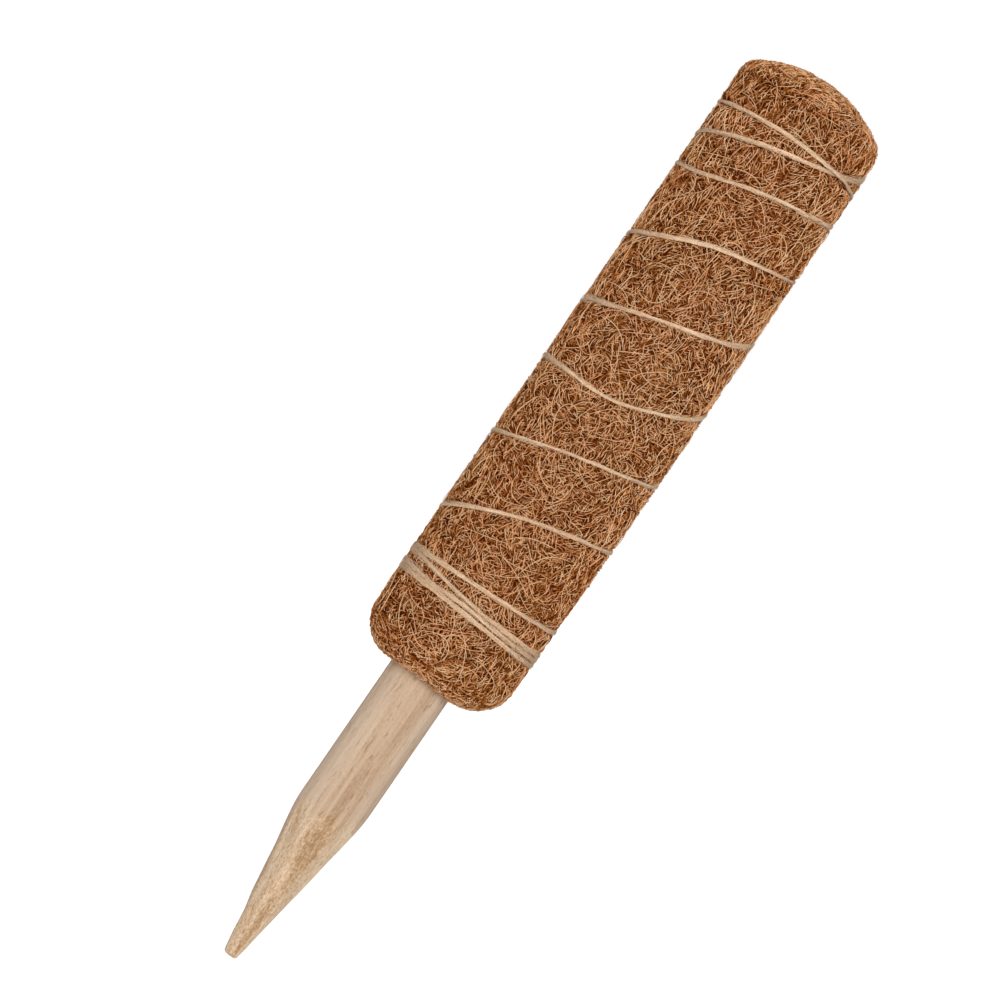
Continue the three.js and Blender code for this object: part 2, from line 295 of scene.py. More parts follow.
FILAMENT_REACH = 0.29  # from the yarn's middle, in parts of its thickness
FILAMENT_RADIUS = 0.118
FILAMENT_RADIUS_WAVER = 0.02
FILAMENT_REACH_WAVER = 0.2
FILAMENT_TURN_WAVER = 0.9  # in radians
FILAMENT_TONE = 0.14  # how much the filaments' tones differ
FLECK_TONE = 0.15  # and how much they change along a filament

# Hairs on the yarn
HAIRS = 6500
HAIR_POINTS = 5
HAIR_SIDES = 3
HAIR_LENGTHS = (2, 7)  # in mm
HAIR_RADII = (0.04, 0.085)
HAIR_TAPER = 0.7
HAIRLESS_TURNS = 0.1  # at both ends of the twine
HAIR_LEAN = 0.8  # round the yarn, in radians, and how much it changes along a hair
HAIR_LEAN_CHANGE = 0.5
HAIR_STRAY = 0.35
HAIR_ASIDE = 0.43  # from the yarn's middle, in parts of its thickness
HAIR_UP = 0.33
HAIR_TONE = 0.7
HAIR_TONE_SPREAD = 0.17
SMALL_TURN = 0.001  # a step that shows which way the twine runs

# Stake: facets cut at the point, as degrees from the front, half width at the tip (mm), slope and tone; the
# tones are partly the cut wood's own and partly painted light that makes the facets at the left paler
FACETS = [
    (9, 2.25, 0.157, 0.56),
    (50, 2.2, 0.155, 0.76),
    (97, 1.6, 0.156, 0.78),
    (143, 2.3, 0.157, 0.5),
    (186, 2.3, 0.153, 0.55),
    (231, 2.3, 0.159, 0.45),
    (278, 2.45, 0.153, 0.62),
    (318, 2.25, 0.157, 0.64),
    (342, 2.42, 0.164, 0.68),
]
POINT_TOP = 58 * MM  # over the tip; the mesh is fine below it
POINT_ROWS = 117
SHAFT_FROM = 62 * MM
SHAFT_ROWS = 60
STAKE_SEGMENTS = 240
RIDGE_WEAR = 0.07 * MM
FLATNESS = 0.75  # 1 for flat cuts, 0 for a round cone
FACET_LEAST_COSINE = 0.3  # a facet reaches no further round the stake
CUT_WAVES = 0.06 * MM  # how uneven the cuts are
CUT_WAVE_SIZE = (2 * MM, 2 * MM, 3 * MM)
TIP_ROUNDING = 0.7 * MM
TIP_END = 0.8  # share of the tip's width that is left at its end
RIPPLES = 16

# Tones of the stake, with places in degrees from the front
DOWEL_TONE = 0.5
STAIN_PLACE = 14
STAIN_TIP_REACH = 10
STAIN_WIDENING = 0.26  # for each mm over the tip
STAIN_EDGE = 4  # power; its edge is sharper the higher this is
STAIN_TONE = 0.2
STAIN_OVER_CUT = 0.1  # on the dowel just over the cuts
STAIN_OVER_CUT_Z = 57 * MM
STAIN_OVER_CUT_REACH = 10 * MM
SIDE_PAINTED_LIGHT = 0.17  # painted light: how much paler the dowel's two sides are
LEFT_PAINTED_LIGHT = 0.05  # painted light: and how much its left side is paler than its right
GRAIN_BANDS = [  # place, reach and tone
    (13, 20, -0.12),
    (44, 10, 0.12),
]

# Bake map
QUAD_CORNERS = np.array([[0, 0], [1, 0], [1, 1], [0, 1]])
BAKE_MARGIN = 0.08  # of a tube's own cell

# Stage
FLOOR_SIZE = 30
FLOOR_LIFT = 0.62  # what the white floor lacks of plain white
WORLD_LEVEL = 0.32
LAMPS = [  # name, energy and direction
    ("key", 2.35, (-0.05, 0.97, -0.16)),
    ("fill", 1.2, (0.1, -0.95, -0.24)),
]
LAMP_WIDTH = 30  # degrees
CAMERA_PLACE = (-10.05 * MM, -1.2, 53.3 * MM)
CAMERA_LEAN = 34.5  # degrees
SENSOR_WIDTH = 36  # in mm, like the lens
LENS = 152.5


def unit(vectors):
    return vectors / np.maximum(np.linalg.norm(vectors, axis=-1, keepdims=True), TINY)


def bell(distance, reach):
    return np.exp(-((distance / reach) ** 2))


def full_turn(steps):
    """Angles spread evenly over one turn."""
    return TAU * np.arange(steps) / steps


def ripple(places, reach):
    """Smooth random values of about -2 to 2 over places. Reach is the size of a ripple along x, y and z."""
    waves = rng.normal(size=(RIPPLES, 3)) / np.array(reach)
    return np.sin(places @ waves.T + rng.uniform(0, TAU, RIPPLES)).sum(-1) / np.sqrt(RIPPLES / 2)


# Materials

def connect(tree, node, inputs):
    """Sets a node's inputs, each from a number, a colour or another node's output."""
    for name, value in inputs.items():
        if isinstance(value, bpy.types.NodeSocket):
            tree.links.new(value, node.inputs[name])
        else:
            node.inputs[name].default_value = value


def add(tree, kind, inputs, **settings):
    node = tree.nodes.new("ShaderNode" + kind)
    for name, value in settings.items():
        setattr(node, name, value)
    connect(tree, node, inputs)
    return node.outputs[0]


def new_material(name):
    material = bpy.data.materials.new(name)
    material.use_nodes = True
    tree = material.node_tree
    return material, tree, tree.nodes["Principled BSDF"]


def ramp(tree, value, stops):
    node = tree.nodes.new("ShaderNodeValToRGB")
    tree.links.new(value, node.inputs["Fac"])
    elements = node.color_ramp.elements
    for element, (place, colour) in zip(elements, (stops[0], stops[-1])):
        element.position = place
        element.color = (*colour, 1)
    for place, colour in stops[1:-1]:
        elements.new(place).color = (*colour, 1)
    return node.outputs["Color"]


def attribute(tree, name):
    node = tree.nodes.new("ShaderNodeAttribute")
    node.attribute_name = name
    return node.outputs["Fac"]


def fibre_material():
    """Coconut fibre: each fibre has its own tone, darker and redder the deeper it lies, as painted shade."""
    material, tree, shader = new_material("coir_fibre")
    colour = ramp(tree, attribute(tree, "tone"), [
        (0, (0.1, 0.008, 0.0001)),
        (0.3, (0.4, 0.118, 0.018)),
        (0.55, (0.74, 0.325, 0.125)),
        (0.75, (0.97, 0.545, 0.28)),
        (1, (1, 0.68, 0.41)),
    ])
    place = tree.nodes.new("ShaderNodeTexCoord").outputs["Object"]
    patches = add(tree, "TexNoise", {"Vector": place, "Scale": 70, "Detail": 2})
    tint = ramp(tree, patches, [(0.35, (1, 0.933, 0.88)), (0.65, (0.97, 0.972, 0.938))])
    tinted = add(tree, "MixRGB", {"Fac": 1, "Color1": colour, "Color2": tint}, blend_type="MULTIPLY")
    connect(tree, shader, {"Base Color": tinted, "Roughness": 0.8, "Specular IOR Level": 0.02})
    return material


def painted_shade_felt_material():
    """The dense mat below the loose fibres: painted dark brown as the shade in the gaps between them, mottled
    and rough.
    """
    material, tree, shader = new_material("coir_felt_painted_shade")
    place = tree.nodes.new("ShaderNodeTexCoord").outputs["Object"]
    mottle = add(tree, "TexNoise", {"Vector": place, "Scale": 900, "Detail": 4})
    # Painted shade: the felt is near-black brown so that the gaps between the loose fibres look shaded
    colour = ramp(tree, mottle, [(0.3, (0.04, 0.004, 0.0002)), (0.7, (0.15, 0.038, 0.006))])
    bump = add(tree, "Bump", {"Height": mottle, "Distance": 0.3 * MM})
    connect(tree, shader, {"Base Color": colour, "Normal": bump})
    connect(tree, shader, {"Roughness": 0.95, "Specular IOR Level": 0})
    return material


def jute_material():
    """Pale jute, with the tone of each filament and hair, and fine flecks."""
    material, tree, shader = new_material("jute_yarn")
    place = tree.nodes.new("ShaderNodeTexCoord").outputs["Object"]
    flecks = add(tree, "TexNoise", {"Vector": place, "Scale": 1800, "Detail": 2})
    flecked = add(tree, "Math", {0: flecks, 1: 1.5, 2: attribute(tree, "tone")}, operation="MULTIPLY_ADD")
    tone = add(tree, "Math", {0: flecked, 1: 0.75}, operation="SUBTRACT")
    colour = ramp(tree, tone, [
        (0, (0.46, 0.27, 0.135)),
        (0.5, (0.89, 0.615, 0.4)),
        (1, (1, 0.8, 0.57)),
    ])
    connect(tree, shader, {"Base Color": colour, "Roughness": 0.8, "Specular IOR Level": 0.2})
    return material


def wood_material():
    """Bare pale wood: bands, streaks and short dark dashes along the grain, and rough specks on the cuts."""
    material, tree, shader = new_material("stake_wood")
    place = tree.nodes.new("ShaderNodeTexCoord").outputs["Object"]
    cut = attribute(tree, "cut")

    def grain(scale, stretch, detail):
        along = add(tree, "Mapping", {"Vector": place, "Scale": (1, 1, stretch)})
        return add(tree, "TexNoise", {"Vector": along, "Scale": scale, "Detail": detail, "Roughness": 0.6})

    def plus(first, second, share):
        return add(tree, "Math", {0: second, 1: share, 2: first}, operation="MULTIPLY_ADD")

    bands = grain(200, 0.05, 3)
    streaks = grain(550, 0.06, 5)
    dashes = ramp(tree, grain(1500, 0.16, 2), [(0.6, (0, 0, 0)), (0.7, (1, 1, 1))])
    specks = add(tree, "Math", {0: grain(2400, 0.45, 3), 1: 0.5}, operation="SUBTRACT")
    share = add(tree, "Math", {0: cut, 1: 0.6, 2: 0.4}, operation="MULTIPLY_ADD")
    rough = add(tree, "Math", {0: specks, 1: share}, operation="MULTIPLY")
    tone = plus(attribute(tree, "tone"), bands, 0.7)
    tone = plus(tone, streaks, 1.1)
    tone = plus(tone, dashes, -0.38)
    tone = plus(tone, rough, 1.5)
    shifted = add(tree, "Math", {0: tone, 1: 0.85}, operation="SUBTRACT")
    dowel = ramp(tree, shifted, [
        (0.1, (0.41, 0.255, 0.145)),
        (0.5, (0.6, 0.42, 0.285)),
        (0.9, (0.73, 0.565, 0.42)),
    ])
    fresh = ramp(tree, shifted, [
        (0.1, (0.38, 0.22, 0.1)),
        (0.5, (0.61, 0.41, 0.25)),
        (0.9, (0.82, 0.63, 0.445)),
    ])
    colour = add(tree, "MixRGB", {"Fac": cut, "Color1": dowel, "Color2": fresh})
    bump = add(tree, "Bump", {"Height": shifted, "Distance": 0.2 * MM, "Strength": 0.7})
    connect(tree, shader, {"Base Color": colour, "Normal": bump})
    connect(tree, shader, {"Roughness": 0.7, "Specular IOR Level": 0.25})
    return material


# Meshes

def quad_object(name, points, quads, uv, material, values):
    """A smooth mesh object of four-cornered faces, with its bake map and named values at its points."""
    mesh = bpy.data.meshes.new(name)
    mesh.vertices.add(len(points))
    mesh.vertices.foreach_set("co", points.astype(np.float32).ravel())
    mesh.loops.add(quads.size)
    mesh.loops.foreach_set("vertex_index", quads.astype(np.int32).ravel())
    mesh.polygons.add(len(quads))
    mesh.polygons.foreach_set("loop_start", np.arange(0, quads.size, 4, dtype=np.int32))
    mesh.uv_layers.new(name="OFBake").data.foreach_set("uv", uv.astype(np.float32).ravel())
    for title, numbers in values.items():
        layer = mesh.attributes.new(title, "FLOAT", "POINT")
        layer.data.foreach_set("value", numbers.astype(np.float32).ravel())
    mesh.update(calc_edges=True)
    mesh.shade_smooth()
    mesh.materials.append(material)
    piece = bpy.data.objects.new(name, mesh)
    bpy.context.collection.objects.link(piece)
    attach(piece, "root")
    return piece


def grid_object(name, places, material, round_rows=False, round_columns=False, **values):
    """A skin over places, shaped (row, column, xyz), welded where they meet.

    Round rows or columns join the last to the first.
    """
    rows, columns, _ = places.shape
    row_steps = rows - 1 + round_rows
    column_steps = columns - 1 + round_columns
    row, column = np.meshgrid(np.arange(row_steps), np.arange(column_steps), indexing="ij")
    row_after = (row + 1) % rows
    column_after = (column + 1) % columns
    corners = [(row, column), (row, column_after), (row_after, column_after), (row_after, column)]
    quads = np.stack([r * columns + c for r, c in corners], -1).reshape(-1, 4)
    u = (column[..., None] + QUAD_CORNERS[:, 0]) / column_steps
    v = (row[..., None] + QUAD_CORNERS[:, 1]) / row_steps
    uv = np.stack([u, v], -1).reshape(-1, 2)
    piece = quad_object(name, places.reshape(-1, 3), quads, uv, material, values)
    skin = bmesh.new()
    skin.from_mesh(piece.data)
    bmesh.ops.remove_doubles(skin, verts=skin.verts, dist=WELD_REACH)
    skin.to_mesh(piece.data)
    skin.free()
    return piece


def tubes(name, paths, normals, radii, tones, sides, material, rows=1):
    """Tubes along paths, shaped (tube, point, xyz). Each tube has rows cells of its own on the bake map."""
    count, points, _ = paths.shape
    along = unit(np.gradient(paths, axis=1))
    across = unit(np.cross(along, normals))
    out = np.cross(across, along)
    turn = full_turn(sides)
    ring = np.cos(turn)[:, None] * out[:, :, None] + np.sin(turn)[:, None] * across[:, :, None]
    places = paths[:, :, None] + radii[:, :, None, None] * ring

    tube, step, side = np.meshgrid(np.arange(count), np.arange(points - 1), np.arange(sides), indexing="ij")
    start = (tube * points + step) * sides
    following = (side + 1) % sides
    quads = np.stack([start + side, start + side + sides, start + following + sides, start + following], -1)

    in_row = int(np.ceil((points - 1) / rows))
    cell = (tube * rows + step // in_row)[..., None]
    columns = int(np.ceil(np.sqrt(count * rows)))
    inside = 1 - 2 * BAKE_MARGIN
    u = BAKE_MARGIN + inside * (step[..., None] % in_row + QUAD_CORNERS[:, 0]) / in_row
    v = BAKE_MARGIN + inside * (side[..., None] + QUAD_CORNERS[:, 1]) / sides
    uv = np.stack([cell % columns + u, cell // columns + v], -1) / columns

    values = {"tone": np.repeat(tones[:, :, None], sides, axis=2)}
    return quad_object(name, places.reshape(-1, 3), quads.reshape(-1, 4), uv.reshape(-1, 2), material, values)


# The coir's outline

def coir_surface(points):
    """The places on the CAD outline of the coir nearest to points, and the normals there."""
    x, y, z = np.moveaxis(points, -1, 0)
    r = np.maximum(np.hypot(x, y), TINY)
    foot = z < FOOT_RADIUS
    top = z > shoulder_z
    crown = top & (np.arctan2(z - crown_z, r) > crown_lean)
    shoulder = top & ~crown
    centre_r = np.select([foot, shoulder], [np.minimum(r, coir_radius - FOOT_RADIUS), crown_span], 0)
    centre_z = np.select([foot, crown, shoulder], [FOOT_RADIUS, crown_z, shoulder_z], z)
    bend = np.select([foot, crown, shoulder], [FOOT_RADIUS, crown_radius, SHOULDER_RADIUS], coir_radius)
    away = unit(np.stack([r - centre_r, z - centre_z], -1))
    normals = np.stack([away[..., 0] * x / r, away[..., 0] * y / r, away[..., 1]], -1)
    on_r = np.maximum(centre_r + bend * away[..., 0], np.where(foot, BORE_RADIUS, 0))
    on_z = centre_z + bend * away[..., 1]
    return np.stack([on_r * x / r, on_r * y / r, on_z], -1), normals


def swell(points):
    """How far the hand-rolled coir stands out of its even outline: full at the right, slack at the ends."""
    x, _, z = np.moveaxis(points, -1, 0)
    right = np.maximum(x / SWELL_SPAN, 0) ** FULL_SIDE_CURVE
    left = np.maximum(-x / SWELL_SPAN, 0)
    full = FULL_SIDE * right * bell(z - FULL_SIDE_Z, FULL_SIDE_REACH)
    slack = SLACK_TOP * right * bell(z - coir_top, SLACK_TOP_REACH)
    slack += SLACK_FOOT * left * bell(z - SLACK_FOOT_Z, SLACK_FOOT_REACH)
    sag = bell(z, SAG_HEIGHT) * sum(depth * bell(x - place, reach) for place, reach, depth in SAGS)
    crown = CROWN_SWELL * bell(z - coir_top, CROWN_SWELL_REACH)
    return full - slack + sag + crown


# Twine route

def stray_at(open_turns):
    """How far the twine strays from an even climb: a smooth curve through the strays of the CAD winding."""
    values = STRAY.ravel()
    places = (np.arange(len(STRAY))[:, None] + STRAY_PLACES).ravel()
    slopes = np.gradient(values, places)
    x = np.clip(open_turns, 0, places[-1])
    i = np.clip(np.searchsorted(places, x, side="right") - 1, 0, len(places) - 2)
    span = places[i + 1] - places[i]
    t = (x - places[i]) / span
    start = values[i] * (1 + 2 * t) + slopes[i] * span * t
    end = values[i + 1] * (3 - 2 * t) + slopes[i + 1] * span * (t - 1)
    return start * (1 - t) ** 2 + end * t**2


def twine_height(turns):
    fraction = turns % 1
    squeeze = 1 - BINDING_SQUEEZE * np.minimum(SQUEEZE_SPREAD * np.sin(np.pi * fraction), 1)
    dip = BINDING_DROP * (1 - np.cos(TAU * turns)) / 2
    close = BINDING_Z + BINDING_PITCH * (1 + fraction + (turns - fraction - 1) * squeeze) - dip
    shift = sum(up * MM * bell(turns - turn, reach) for turn, reach, up in SHIFTED)
    open_turns = turns - BINDING_TURNS
    climbed = np.clip(open_turns - CLIMB_FROM, 0, climb_turns)
    wide = binding_top + climb_pitch * (climbed + stray_at(open_turns))
    return np.where(turns < BINDING_TURNS, close, wide) + shift


def twine_places(turns):
    """Places along the middle of the twine. Its last turn rises over the one before, and its ends dive in."""
    apart = np.abs(twine_height(turns) - twine_height(turns - 1)) / (HUMP_REACH * CROSSING_RISE)
    hump = CROSSING_RISE * (1 + np.cos(np.pi * np.minimum(apart, 1))) / 2
    to_end = np.minimum(turns - FIRST_TURN, LAST_TURN - turns)
    tuck = TUCK_DEPTH * np.clip(1 - to_end / TUCK_TURNS, 0, 1) ** 2
    radius = TWINE_RADIUS + np.where(turns < LAST_TURN - 1, 0, hump) - tuck
    angle = LEFT_ANGLE + TAU * turns
    places = np.stack([radius * np.cos(angle), radius * np.sin(angle), twine_height(turns)], -1)
    outward = np.stack([np.cos(angle), np.sin(angle), np.zeros_like(angle)], -1)
    return places + outward * swell(places)[..., None], outward


def pressed_in(points):
    """How far the twine presses the fibres in at points."""
    x, y, z = np.moveaxis(points, -1, 0)
    fraction = (np.arctan2(y, x) - LEFT_ANGLE) / TAU % 1
    nearest = np.full(z.shape, np.inf)
    for turn in range(int(np.floor(FIRST_TURN)), int(LAST_TURN) + 1):
        turns = fraction + turn
        laid = (turns > FIRST_TURN) & (turns < LAST_TURN)
        nearest = np.where(laid, np.minimum(nearest, np.abs(z - twine_height(turns))), nearest)
    return PRESS_DEPTH * bell(nearest, PRESS_REACH)


def folded_in(points):
    """How far the seam, the gathered eye and the crease round the foot lie in at points."""
    x, y, z = np.moveaxis(points, -1, 0)
    seam = SEAM_DEPTH * bell(x, SEAM_REACH) * (y > 0)
    eye = EYE_DEPTH * bell(np.hypot(x, y) - EYE_RADIUS, EYE_REACH) * (z > shoulder_z)
    crease = CREASE_DEPTH * bell(z - CREASE_Z - CREASE_SLOPE * x, CREASE_REACH)
    crease *= bell(x - CREASE_X, CREASE_WIDTH)
    return np.maximum.reduce([seam, eye, crease])


# Loose fibres

def scatter(count):
    """Places spread evenly over the wall, the top and the foot of the coir."""
    square = np.arange(count)[:, None] * EVEN_STEPS + rng.random(2)
    along, around = ((square + rng.normal(0, EVEN_JITTER, square.shape)) % 1).T
    areas = np.array([2 * coir_radius * coir_top, coir_radius**2, coir_radius**2 - BORE_RADIUS**2])
    shares = areas / areas.sum()
    starts = np.array([0, shares[0], shares[0] + shares[1]])
    zone = np.searchsorted(starts, along, side="right") - 1
    part = (along - starts[zone]) / shares[zone]
    inner = np.choose(zone, [coir_radius, 0, BORE_RADIUS])
    r = np.sqrt(inner**2 + part * (coir_radius**2 - inner**2))
    z = np.choose(zone, [part * coir_top, coir_top, 0])
    angle = TAU * around
    return np.stack([r * np.cos(angle), r * np.sin(angle), z], -1)


def up_the_mat(places, normals):
    """The way from the foot up along the outline at places."""
    inward = -places[:, :2] / np.maximum(np.hypot(places[:, 0], places[:, 1]), TINY)[:, None]
    rise = np.hypot(normals[:, 0], normals[:, 1])
    return np.concatenate([normals[:, 2:] * inward, rise[:, None]], -1)


def lie_on_coir(points, lengths, bends):
    """Curved paths on the coir's outline: places and normals, shaped (fibre, point, xyz)."""
    count = len(lengths)
    places, normals = coir_surface(scatter(count))
    combed = np.stack([ripple(places, COMB_REACH) for _ in range(3)], -1)
    up = up_the_mat(places, normals)
    strength = LAY * places[:, 2:] / coir_top + TURNED_IN * np.maximum(normals[:, 2:], 0)
    combed += strength * (up + LAY_LEAN * np.cross(up, normals))
    ahead = combed + COMB_STRAY * rng.normal(size=(count, 3))
    sway = rng.uniform(0, TAU, count)
    step = lengths / (points - 1)
    bends = bends * (1 - STRAIGHTER * (places[:, 2] / coir_top) ** 2)
    path = []
    for point in range(points):
        path.append((places, normals))
        turned = bends * step * (1 + SWAY * np.sin(sway + TAU * point / points))
        ahead = unit(ahead - normals * np.sum(ahead * normals, -1, keepdims=True))
        ahead = ahead * np.cos(turned)[:, None] + np.cross(normals, ahead) * np.sin(turned)[:, None]
        places, normals = coir_surface(places + ahead * step[:, None])
    return [np.stack(part, 1) for part in zip(*path)]


def settled(paths, crowd):
    """Which of its tries each fibre takes: the one where the fewest fibres lie. Adds the fibres to the crowd.

    Paths are shaped (fibre, try, point, xyz). The crowd is a map of the coir, unrolled round its axis.
    """
    count = len(paths)
    middles = (paths[:, :, 1:] + paths[:, :, :-1]) / 2
    x, y, z = np.moveaxis(np.concatenate([paths, middles], axis=2), -1, 0)
    r = np.hypot(x, y)
    turned_in = (coir_radius - r) * np.sign(z - coir_top / 2)
    up = z + np.where((z > shoulder_z) | (z < FOOT_RADIUS), turned_in, 0)
    row = ((up + coir_radius) / CROWD_CELL).astype(int)
    column = ((np.arctan2(y, x) / TAU % 1) * crowd.shape[1]).astype(int)
    taken = np.zeros(count, int)
    for first in range(0, count, CROWD_BATCH):
        batch = np.arange(first, min(first + CROWD_BATCH, count))
        taken[batch] = crowd[row[batch], column[batch]].mean(-1).argmin(-1)
        cells = batch, taken[batch]
        weight = coir_radius / np.maximum(r[cells], CROWD_LEAST_RADIUS)
        for down in (-1, 0, 1):
            for aside in (-1, 0, 1):
                np.add.at(crowd, (row[cells] + down, (column[cells] + aside) % crowd.shape[1]), weight)
    return taken


def mat_painted_shade(points):
    """Painted shade: how much paler the mat is at the front and the back than at its sides and its top. It is
    also darker towards its foot.
    """
    x, _, z = np.moveaxis(points, -1, 0)
    sides = SIDE_SHADE * (x / coir_radius) ** 2 + LEFT_SHADE * np.maximum(-x / coir_radius, 0)
    ends = sum(shade * bell(z - height, reach) for height, reach, shade in END_SHADES)
    return FRONT_TONE - sides - ends


def coir_fibres(name, points, lengths, bends, levels, thick, tone, material, crowd):
    """Loose fibres at levels over the outline, in mm. They weave up and down and dive in at both ends.

    Thick is the range of their radius, in mm, and tone the least that they have.
    """
    count = len(lengths)
    places, normals = lie_on_coir(points, np.repeat(lengths, TRIES), np.repeat(bends, TRIES))
    taken = np.arange(count) * TRIES + settled(places.reshape(count, TRIES, points, 3), crowd)
    places, normals = places[taken], normals[taken]
    t = np.linspace(0, 1, points)
    ends = np.abs(2 * t - 1)
    weave = rng.uniform(*WEAVES, (count, 1))
    waves = np.sin(TAU * (rng.uniform(*WEAVE_COUNTS, (count, 1)) * t + rng.random((count, 1))))
    depth = levels[:, None] + weave * waves - rng.uniform(*DIVES, (count, 1)) * ends**4
    depth -= folded_in(places) / MM
    held = np.where(rng.random((count, 1)) < OVER_TWINE, OVER_TWINE_PRESS, 1)
    raised = depth * MM - held * pressed_in(places) + swell(places)
    paths = places + normals * raised[..., None]
    radii = rng.uniform(*thick, (count, 1)) * MM * (1 - FIBRE_TAPER * ends**5)
    # Painted shade: fibres that lie deeper, in lower layers, at the seam, the eye and the crease and where
    # their ends dive in, are darker
    painted_light = 1 / (1 + np.exp(-(depth - PALE_LEVEL) / PALE_FADE))
    own = rng.normal(0, OWN_TONE, (count, 1)) * (OWN_TONE_DEEP + (1 - OWN_TONE_DEEP) * painted_light)
    tones = np.clip(tone + PALE_TONE * painted_light + mat_painted_shade(places) + own, 0, 1)
    return tubes(name, paths, normals, radii, tones, FIBRE_SIDES, material)


def short_layer(layer, material, crowd):
    """One layer of short curled fibres, lower with each layer."""
    lengths = rng.lognormal(np.log(SHORT_LENGTH), SHORT_LENGTH_SPREAD, SHORT_FIBRES)
    lengths = np.clip(lengths, *SHORT_LENGTH_RANGE) * MM
    bends = rng.uniform(0, SHORT_BEND, SHORT_FIBRES) * rng.choice([-1, 1], SHORT_FIBRES)
    levels = TOP_LEVEL - LAYER_DROP * layer + rng.normal(0, LEVEL_SPREAD, SHORT_FIBRES)
    name = f"coir_curls_{layer + 1}"
    return coir_fibres(name, SHORT_POINTS, lengths, bends, levels, SHORT_RADII, SHORT_TONE, material, crowd)


def long_layer(material, crowd):
    """Long fibres among the upper curls, a few of them looped."""
    lengths = rng.uniform(*LONG_LENGTHS, LONG_FIBRES) * MM
    looped = rng.random(LONG_FIBRES) < LOOPED
    loops = rng.uniform(*LOOP_BENDS, LONG_FIBRES)
    bends = np.where(looped, loops, rng.normal(0, LONG_BEND, LONG_FIBRES))
    levels = rng.uniform(*LONG_LEVELS, LONG_FIBRES)
    name = "coir_long_fibres"
    return coir_fibres(name, LONG_POINTS, lengths, bends, levels, LONG_RADII, LONG_TONE, material, crowd)


def loose_fibres(material):
    """The long fibres and then layers of short ones from the top down, each filling what is left bare."""
    rows = int((coir_top + 2 * coir_radius) / CROWD_CELL) + 1
    crowd = np.zeros((rows, int(TAU * coir_radius / CROWD_CELL)))
    up = np.arange(rows) * CROWD_CELL - coir_radius
    ends = (up < 0) | (up > coir_top)
    crowd[ends] += ENDS_TAKEN
    pieces = [long_layer(material, crowd)]
    crowd[ends] -= ENDS_TAKEN
    for layer in range(SHORT_LAYERS):
        pieces.append(short_layer(layer, material, crowd))
    return pieces


# Felt

def arc(centre_r, centre_z, radius, start, end, steps):
    """Points (radius, height) along an arc from one angle to another."""
    angles = np.linspace(start, end, steps)
    return [(centre_r + radius * np.cos(angle), centre_z + radius * np.sin(angle)) for angle in angles]


def foot_arc(inset):
    return arc(coir_radius - FOOT_RADIUS, FOOT_RADIUS, FOOT_RADIUS - inset, -np.pi / 2, 0, FOOT_STEPS)


def top_arcs(inset, inner_radius, shoulder_steps, crown_steps):
    """Points (radius, height) over the shoulder and the crown, as far in as the inner radius."""
    fold = crown_radius - inset
    shoulder = arc(crown_span, shoulder_z, SHOULDER_RADIUS - inset, 0, crown_lean, shoulder_steps)
    crown = arc(0, crown_z, fold, crown_lean, np.arccos(inner_radius / fold), crown_steps + 1)
    return shoulder + crown[1:]


def outline(inset):
    """Points (radius, height) along the coir's outline, from the foot's inner edge to the eye."""
    wall = [(coir_radius - inset, z) for z in np.linspace(FOOT_RADIUS, shoulder_z, WALL_STEPS)[1:-1]]
    top = top_arcs(inset, EYE_RADIUS, SHOULDER_STEPS, CROWN_STEPS)
    return [(BORE_RADIUS, inset), *foot_arc(inset), *wall, *top]


def swept(points, angles):
    """Places of an outline swept round the axis, shaped (outline point, angle, xyz)."""
    r, z = np.array(points).T
    x = r[:, None] * np.cos(angles)
    y = r[:, None] * np.sin(angles)
    return np.stack([x, y, np.broadcast_to(z[:, None], x.shape)], -1)


def coir_wrap(material):
    """The outer mat: one sheet round the pole, turned in at both ends, with its seam at the back."""
    half_gap = SEAM_GAP / 2 / coir_radius
    angles = BACK_ANGLE + np.linspace(half_gap, TAU - half_gap, WRAP_STEPS)
    outer = swept(outline(FELT_DEPTH), angles)
    outer += coir_surface(outer)[1] * swell(outer)[..., None]
    inner = swept(outline(MAT_THICKNESS), angles)
    edges = (outer[:, [0, -1]] + inner[:, [0, -1]]) / 2
    outer = np.concatenate([edges[:, :1], outer, edges[:, 1:]], axis=1)
    inner = np.concatenate([edges[:, :1], inner, edges[:, 1:]], axis=1)
    return grid_object("coir_wrap", np.concatenate([outer, inner[::-1]]), material, round_rows=True)


def coir_pad(material):
    """The pad under the crown, which fills the eye of the wrap."""
    inset = MAT_THICKNESS + CLEARANCE
    eye = EYE_RADIUS - CLEARANCE
    low = shoulder_z - PAD_RIM
    dome = [(AXIS_GAP, low), (coir_radius - inset, low)]
    dome += top_arcs(inset, eye, PAD_STEPS, PAD_STEPS)
    dome += [(eye, coir_top - FELT_DEPTH), (AXIS_GAP, coir_top - FELT_DEPTH / 2)]
    return grid_object("coir_pad", swept(dome, full_turn(PAD_SEGMENTS)), material, round_columns=True)


def lumpy(places):
    """Places moved in or out from the pole's axis, as hand-laid fibre is."""
    outward = unit(places * [1, 1, 0])
    return places + LUMPS * outward * ripple(places, LUMP_SIZE)[..., None]


def rolled_thickness(turn):
    return FEATHERED_THICKNESS + (MAT_THICKNESS - FEATHERED_THICKNESS) * min(turn, ROLL_TURNS - turn, 1)


def rolled_seat(turn):
    """The radius that the rolled strip lies on: the stake's, and then that of its own last turn."""
    if turn < 1:
        return BORE_RADIUS
    return rolled_seat(turn - 1) + rolled_thickness(turn - 1) + CLEARANCE


